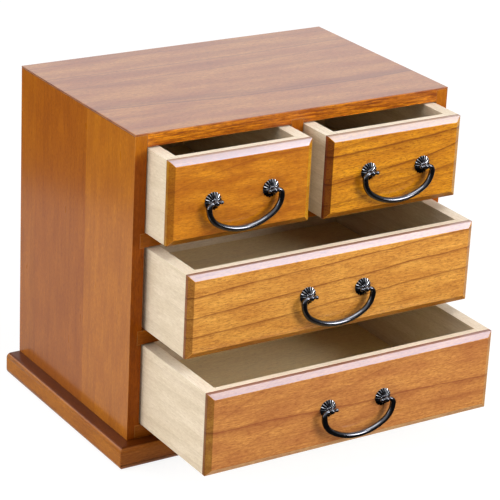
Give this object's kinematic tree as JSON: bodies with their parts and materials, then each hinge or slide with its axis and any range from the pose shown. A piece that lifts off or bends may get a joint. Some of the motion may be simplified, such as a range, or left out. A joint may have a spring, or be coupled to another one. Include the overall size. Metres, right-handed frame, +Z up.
{
  "type": "desktop jewelry cabinet",
  "caption": "Desktop jewelry cabinet: a lacquered wooden case on a moulded plinth, with inset bevelled drawers that slide and hinged bail pulls that swing.",
  "frame": {"origin": "on the floor, in the middle of the back edge of the cabinet, at the underside of the plinth rear rail", "axes": "+X to the cabinet's right as seen from the front, +Y from the front to the back (drawers open towards -Y), +Z up"},
  "size_m": [0.325, 0.3076, 0.2829],
  "materials": {
    "amber_lacquer": "satin to gloss amber lacquer over straight-grained hardwood",
    "pale_wood": "unfinished pale wood, sanded",
    "plain_ply": "thin plywood, lightly stained",
    "dark_metal": "cast alloy with a dark nickel plating, rubbed brighter on the raised flutes",
    "nut_steel": "bright zinc plating"
  },
  "bodies": {
    "case": {"top_panel": "amber_lacquer", "side_panel_left": "amber_lacquer", "side_panel_right": "amber_lacquer", "bottom_board": "amber_lacquer", "shelf_lower": "amber_lacquer", "shelf_upper": "amber_lacquer", "drawer_divider": "amber_lacquer", "back_panel": "plain_ply", "plinth_front": "amber_lacquer", "plinth_left": "amber_lacquer", "plinth_right": "amber_lacquer", "plinth_rear": "amber_lacquer"},
    "top_left_drawer": {"top_left_face": "amber_lacquer", "top_left_inner_front": "pale_wood", "top_left_side_left": "pale_wood", "top_left_side_right": "pale_wood", "top_left_back": "pale_wood", "top_left_floor": "pale_wood", "top_left_rosettes": "dark_metal", "top_left_posts": "dark_metal", "top_left_nuts": "nut_steel"},
    "top_left_bail": {"top_left_bail": "dark_metal"},
    "top_right_drawer": {"top_right_face": "amber_lacquer", "top_right_inner_front": "pale_wood", "top_right_side_left": "pale_wood", "top_right_side_right": "pale_wood", "top_right_back": "pale_wood", "top_right_floor": "pale_wood", "top_right_rosettes": "dark_metal", "top_right_posts": "dark_metal", "top_right_nuts": "nut_steel"},
    "top_right_bail": {"top_right_bail": "dark_metal"},
    "middle_drawer": {"middle_face": "amber_lacquer", "middle_inner_front": "pale_wood", "middle_side_left": "pale_wood", "middle_side_right": "pale_wood", "middle_back": "pale_wood", "middle_floor": "pale_wood", "middle_rosettes": "dark_metal", "middle_posts": "dark_metal", "middle_nuts": "nut_steel"},
    "middle_bail": {"middle_bail": "dark_metal"},
    "bottom_drawer": {"bottom_face": "amber_lacquer", "bottom_inner_front": "pale_wood", "bottom_side_left": "pale_wood", "bottom_side_right": "pale_wood", "bottom_back": "pale_wood", "bottom_floor": "pale_wood", "bottom_rosettes": "dark_metal", "bottom_posts": "dark_metal", "bottom_nuts": "nut_steel"},
    "bottom_bail": {"bottom_bail": "dark_metal"}
  },
  "joints": [
    {"name": "top_left_slide", "type": "slide", "parent": "case", "child": "top_left_drawer", "axis": [0, -1, 0], "range_m": [-0.0345, 0.1245]},
    {"name": "top_left_bail_swing", "type": "hinge", "parent": "top_left_drawer", "child": "top_left_bail", "pos_m": [-0.07225, -0.2355, 0.2337], "axis": [-0.9989, 0, -0.0471], "range_deg": [-7, 187]},
    {"name": "top_right_slide", "type": "slide", "parent": "case", "child": "top_right_drawer", "axis": [0, -1, 0], "range_m": [-0.0374, 0.1216]},
    {"name": "top_right_bail_swing", "type": "hinge", "parent": "top_right_drawer", "child": "top_right_bail", "pos_m": [0.07325, -0.2384, 0.2348], "axis": [-0.9993, 0, 0.0375], "range_deg": [-7, 187]},
    {"name": "middle_slide", "type": "slide", "parent": "case", "child": "middle_drawer", "axis": [0, -1, 0], "range_m": [-0.0654, 0.0936]},
    {"name": "middle_bail_swing", "type": "hinge", "parent": "middle_drawer", "child": "middle_bail", "pos_m": [0.0014, -0.2664, 0.1497], "axis": [-0.9994, 0, 0.034], "range_deg": [-7, 187]},
    {"name": "bottom_slide", "type": "slide", "parent": "case", "child": "bottom_drawer", "axis": [0, -1, 0], "range_m": [-0.1038, 0.0552]},
    {"name": "bottom_bail_swing", "type": "hinge", "parent": "bottom_drawer", "child": "bottom_bail", "pos_m": [0.0009, -0.3048, 0.0672], "axis": [-0.9998, 0, 0.0183], "range_deg": [-7, 187]}
  ]
}
